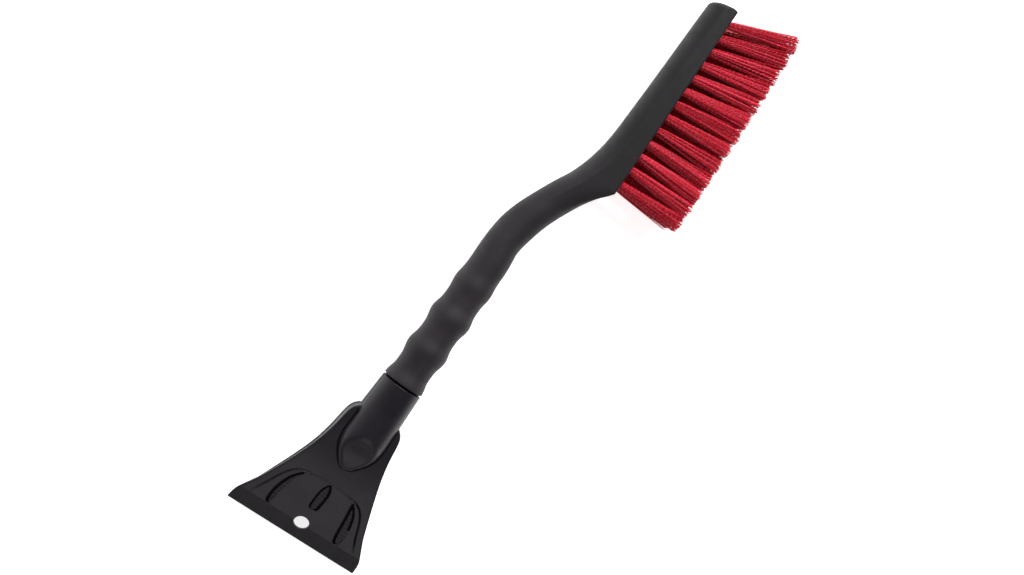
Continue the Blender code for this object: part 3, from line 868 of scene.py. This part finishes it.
def anchor_metal():
    """Dull zinc-coated wire, flattened."""
    n = Nodes("zinc_wire")
    colour = n.ramp(n.noise(0.8), (0.3, (0.42, 0.43, 0.45)), (0.7, (0.6, 0.61, 0.63)))
    return n.set(Base_Color=colour, Roughness=n.remap(n.noise(0.5), 0.3, 0.5), Metallic=1.0,
                 Normal=n.bump(n.noise(0.3), 0.02))


def world_point(point):
    """A layout point in metres from the frame's origin."""
    return Vector((np.array(point) - ORIGIN) * METRES)


def add_camera():
    """The camera, looking down almost square to the tool's flat plane."""
    data = bpy.data.cameras.new("camera")
    data.lens, data.sensor_width, data.clip_start = LENS, 36.0, 0.01
    camera = bpy.data.objects.new("camera", data)
    bpy.context.scene.collection.objects.link(camera)
    sight, up = Vector(CAMERA_SIGHT).normalized(), Vector(CAMERA_UP)
    right = sight.cross(up).normalized()
    camera.matrix_world = Matrix((right, right.cross(sight), -sight)).transposed().to_4x4()
    camera.matrix_world.translation = world_point(CAMERA_AT)
    bpy.context.scene.camera = camera


def add_softbox(name, at, size, power):
    """A rectangular light that faces the tool."""
    data = bpy.data.lights.new(name, "AREA")
    data.shape, data.size, data.size_y, data.energy = "RECTANGLE", *size, power
    light = bpy.data.objects.new(name, data)
    bpy.context.scene.collection.objects.link(light)
    light.location = at
    light.rotation_euler = (-Vector(at)).to_track_quat("-Z", "Y").to_euler()


def add_floor():
    """A white floor that glows a little, so that it stays pale around the tool."""
    n = Nodes("pale_floor")
    colour = n.ramp(n.noise(60, 3.0), (0.3, (0.90, 0.90, 0.90)), (0.7, (0.93, 0.93, 0.93)))
    material = n.set(Base_Color=colour, Roughness=0.6, Emission_Color=colour, Emission_Strength=0.83)
    mesh = bpy.data.meshes.new("floor")
    corners = [(a * FLOOR_REACH, b * FLOOR_REACH, 0) for a, b in ((-1, -1), (1, -1), (1, 1), (-1, 1))]
    mesh.from_pydata(corners, [], [(0, 1, 2, 3)])
    mesh.materials.append(material)
    floor = bpy.data.objects.new("floor", mesh)
    bpy.context.scene.collection.objects.link(floor)


def add_sky():
    """A dim white sky, brighter at the horizon and on the side of the handle's back."""
    world = bpy.data.worlds.new("studio")
    world.use_nodes = True
    nodes, links = world.node_tree.nodes, world.node_tree.links
    side = nodes.new("ShaderNodeSeparateXYZ")
    links.new(nodes.new("ShaderNodeTexCoord").outputs["Generated"], side.inputs["Vector"])
    total = nodes.new("ShaderNodeMath")
    for place, (axis, numbers) in enumerate(SKY_GLOW):
        glow = nodes.new("ShaderNodeMapRange")
        glow.interpolation_type = "SMOOTHSTEP"
        set_range(glow, *numbers)
        links.new(side.outputs[axis], glow.inputs["Value"])
        links.new(glow.outputs["Result"], total.inputs[place])
    links.new(total.outputs["Value"], nodes["Background"].inputs["Strength"])
    nodes["Background"].inputs["Color"].default_value = (1.0, 1.0, 1.0, 1.0)
    bpy.context.scene.world = world
    bpy.context.scene.view_settings.view_transform = "Standard"


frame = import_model()

# The near-black plastic that paints shade into the recesses and gaps.
painted_shade = painted_shade_plastic()
points, quads = skin(handle_shape, *HANDLE_BOX, HANDLE_STEP)
handle_mesh = new_mesh("handle_skin", points, quads)
# Painted shade: the spigot and stop ring, seen in the collar gap, get the near-black plastic, so the gap
# reads as a dark line.
socketed = points[quads].mean(axis=1)[:, 0] < COLLAR_X + COLLAR_GAP
handle_mesh.polygons.foreach_set("material_index", socketed.astype(np.int32))
new_piece("handle_skin", handle_mesh, [matte_plastic(), painted_shade], "handle", "brush_handle")
points, quads = skin(head_shape, *HEAD_BOX, HEAD_STEP)
head_mesh = new_mesh("head_skin", points, quads)
# Painted shade: the head's channels, seam, nose line, ledge and lower rim get the near-black plastic.
painted_shade_faces = painted_shade_places(*points[quads].mean(axis=1).T) < 0.1
head_mesh.polygons.foreach_set("material_index", painted_shade_faces.astype(np.int32))
new_piece("head_skin", head_mesh, [gloss_plastic(), painted_shade], "head", "scraper_head")
make_tufts([bristle_plastic(index) for index in range(SHADES)])
make_anchors(anchor_metal())

add_floor()
add_sky()
for softbox in SOFTBOXES:
    add_softbox(*softbox)
add_camera()
